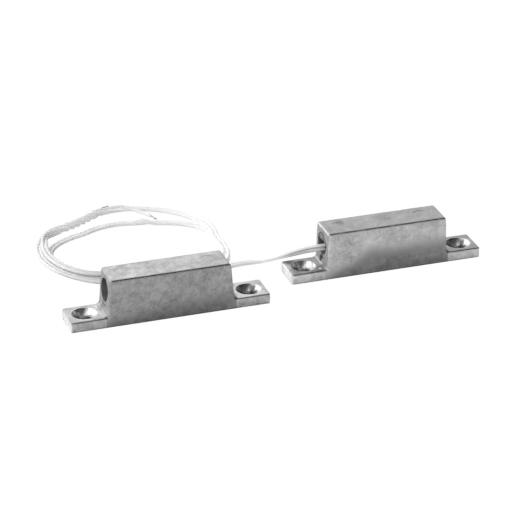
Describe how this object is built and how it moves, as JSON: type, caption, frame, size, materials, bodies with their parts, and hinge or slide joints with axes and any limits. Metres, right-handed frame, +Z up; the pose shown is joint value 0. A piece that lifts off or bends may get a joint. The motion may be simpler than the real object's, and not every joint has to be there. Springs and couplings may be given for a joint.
{
  "type": "door contact sensor",
  "caption": "Surface-mount magnetic door contact: a cast switch unit with two coiled white leads, and a matching cast magnet unit, each with countersunk fixing ears.",
  "frame": {"origin": "centre of the switch housing's underside, on the mounting surface", "axes": "+X along the switch housing, away from the end its leads leave by; +Y to the back, towards the coil of leads; +Z up, away from the mounting surface. The rest pose is the pair as pictured, with the magnet unit away from the switch unit (door open)"},
  "size_m": [0.13, 0.0771, 0.0146],
  "materials": {
    "cast_alloy": "as cast, tumbled, slightly mottled",
    "glass": "clear, faint green",
    "reed_metal": "nickel-iron, drawn",
    "contact_plating": "plated, bright",
    "sleeve_rubber": "matt",
    "epoxy": "cast epoxy, glossy at the meniscus",
    "solder": "dull silver",
    "shrink_tube": "matt",
    "lead_pvc": "white flexible PVC, satin",
    "tinned_copper": "tinned stranded copper",
    "magnet": "ground cast magnet alloy",
    "glue": "set glue"
  },
  "bodies": {
    "switch_unit": {"switch_housing": "cast_alloy", "glass_capsule": "glass", "reed_stem_front": "reed_metal", "reed_stem_rear": "reed_metal", "capsule_sleeve": "sleeve_rubber", "potting_compound": "epoxy", "solder_joint_front": "solder", "solder_joint_rear": "solder", "shrink_sleeve_front": "shrink_tube", "shrink_sleeve_rear": "shrink_tube", "lead_a_insulation": "lead_pvc", "lead_b_insulation": "lead_pvc", "lead_a_core": "tinned_copper", "lead_b_core": "tinned_copper"},
    "front_blade": {"reed_blade_front": "reed_metal", "contact_plating_front": "contact_plating"},
    "rear_blade": {"reed_blade_rear": "reed_metal", "contact_plating_rear": "contact_plating"},
    "lead_coil": {"coil_a_insulation": "lead_pvc", "coil_b_insulation": "lead_pvc", "coil_a_core": "tinned_copper", "coil_b_core": "tinned_copper"},
    "magnet_unit": {"magnet_housing": "cast_alloy", "bar_magnet": "magnet", "magnet_adhesive": "glue"}
  },
  "joints": [
    {"name": "magnet_slide", "type": "slide", "parent": "switch_unit", "child": "magnet_unit", "axis": [0.9879, -0.1552, 0], "range_m": [0, 0.07086]},
    {"name": "front_blade_flex", "type": "hinge", "parent": "switch_unit", "child": "front_blade", "pos_m": [-0.00477, 0, 0.01046], "axis": [0, -1, 0], "range_deg": [0, 0.55]},
    {"name": "rear_blade_flex", "type": "hinge", "parent": "switch_unit", "child": "rear_blade", "pos_m": [0.00577, 0, 0.01084], "axis": [0, -1, 0], "range_deg": [0, 0.55]},
    {"name": "lead_swing", "type": "hinge", "parent": "switch_unit", "child": "lead_coil", "pos_m": [-0.01922, 0, 0.0083], "axis": [0, 0, 1], "range_deg": [-45, 5]}
  ],
  "couplings": [
    {"joint": "front_blade_flex", "follows": "magnet_slide", "rad_per_m": 0.13407},
    {"joint": "rear_blade_flex", "follows": "magnet_slide", "rad_per_m": 0.13407}
  ]
}
